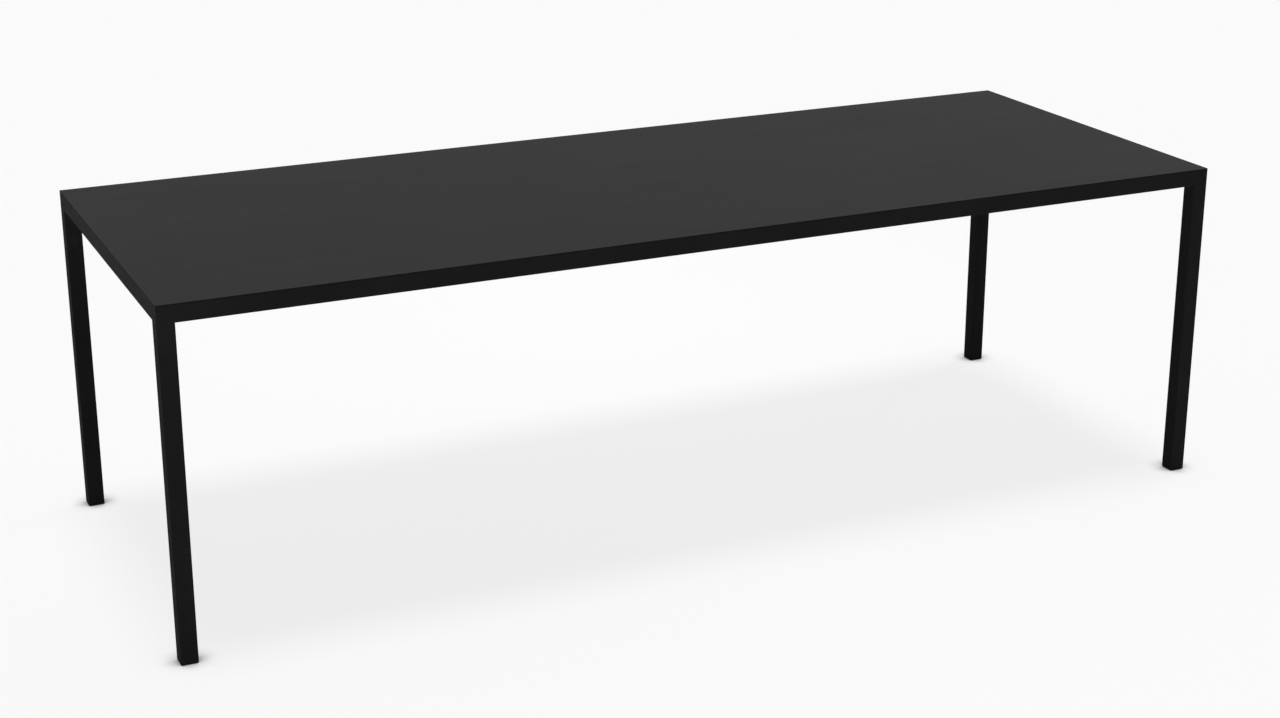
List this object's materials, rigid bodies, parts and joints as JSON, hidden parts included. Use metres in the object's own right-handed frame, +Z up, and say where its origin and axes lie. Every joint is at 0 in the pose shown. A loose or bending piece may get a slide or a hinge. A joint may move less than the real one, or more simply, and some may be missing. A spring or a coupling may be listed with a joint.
{
  "type": "dining table",
  "caption": "Long rectangular dining table with a thin flush edge, square tube legs mitred into the corners and levelling feet hidden in the leg ends.",
  "frame": {"origin": "centre of the table's footprint, on the floor", "axes": "+X along the length to the right, +Y across the width to the back, +Z up"},
  "size_m": [2.4, 0.9, 0.735],
  "materials": {
    "top_laminate": "matte black laminate with a fine grain",
    "frame_coat": "black fine-texture powder coat on steel tube",
    "core_board": "raw fibreboard",
    "backing_laminate": "matte black balancing laminate",
    "cast_alloy": "as-cast, grainy",
    "black_steel": "black oxide",
    "zinc_steel": "bright zinc plate",
    "foot_plastic": "moulded black nylon"
  },
  "bodies": {
    "table_frame": {"top_skin": "top_laminate", "core_panel": "core_board", "backing_sheet": "backing_laminate", "long_rail_front": "frame_coat", "long_rail_back": "frame_coat", "short_rail_left": "frame_coat", "short_rail_right": "frame_coat", "leg_front_left": "frame_coat", "leg_front_right": "frame_coat", "leg_back_right": "frame_coat", "leg_back_left": "frame_coat", "cross_bar_left": "frame_coat", "cross_bar_middle": "frame_coat", "cross_bar_right": "frame_coat", "end_ledge_left": "frame_coat", "end_ledge_right": "frame_coat", "corner_connector_front_left": "cast_alloy", "corner_connector_front_right": "cast_alloy", "corner_connector_back_right": "cast_alloy", "corner_connector_back_left": "cast_alloy", "leg_plug_front_left": "foot_plastic", "leg_plug_front_right": "foot_plastic", "leg_plug_back_right": "foot_plastic", "leg_plug_back_left": "foot_plastic", "rail_screws": "black_steel", "leg_screws": "black_steel", "panel_screws": "zinc_steel"},
    "shoe_front_left": {"foot_shoe_front_left": "foot_plastic"},
    "screw_front_left": {"foot_screw_front_left": "zinc_steel"},
    "shoe_front_right": {"foot_shoe_front_right": "foot_plastic"},
    "screw_front_right": {"foot_screw_front_right": "zinc_steel"},
    "shoe_back_right": {"foot_shoe_back_right": "foot_plastic"},
    "screw_back_right": {"foot_screw_back_right": "zinc_steel"},
    "shoe_back_left": {"foot_shoe_back_left": "foot_plastic"},
    "screw_back_left": {"foot_screw_back_left": "zinc_steel"}
  },
  "joints": [
    {"name": "foot_level_front_left", "type": "slide", "parent": "table_frame", "child": "shoe_front_left", "axis": [0, 0, -1], "range_m": [0, 0.012]},
    {"name": "foot_turn_front_left", "type": "hinge", "parent": "shoe_front_left", "child": "screw_front_left", "pos_m": [-1.1825, -0.4325, 0], "axis": [0, 0, -1], "range_deg": [0, 3456]},
    {"name": "foot_level_front_right", "type": "slide", "parent": "table_frame", "child": "shoe_front_right", "axis": [0, 0, -1], "range_m": [0, 0.012]},
    {"name": "foot_turn_front_right", "type": "hinge", "parent": "shoe_front_right", "child": "screw_front_right", "pos_m": [1.1825, -0.4325, 0], "axis": [0, 0, -1], "range_deg": [0, 3456]},
    {"name": "foot_level_back_right", "type": "slide", "parent": "table_frame", "child": "shoe_back_right", "axis": [0, 0, -1], "range_m": [0, 0.012]},
    {"name": "foot_turn_back_right", "type": "hinge", "parent": "shoe_back_right", "child": "screw_back_right", "pos_m": [1.1825, 0.4325, 0], "axis": [0, 0, -1], "range_deg": [0, 3456]},
    {"name": "foot_level_back_left", "type": "slide", "parent": "table_frame", "child": "shoe_back_left", "axis": [0, 0, -1], "range_m": [0, 0.012]},
    {"name": "foot_turn_back_left", "type": "hinge", "parent": "shoe_back_left", "child": "screw_back_left", "pos_m": [-1.1825, 0.4325, 0], "axis": [0, 0, -1], "range_deg": [0, 3456]}
  ],
  "couplings": [
    {"joint": "foot_turn_front_left", "follows": "foot_level_front_left", "rad_per_m": 5026.5},
    {"joint": "foot_turn_front_right", "follows": "foot_level_front_right", "rad_per_m": 5026.5},
    {"joint": "foot_turn_back_right", "follows": "foot_level_back_right", "rad_per_m": 5026.5},
    {"joint": "foot_turn_back_left", "follows": "foot_level_back_left", "rad_per_m": 5026.5}
  ]
}
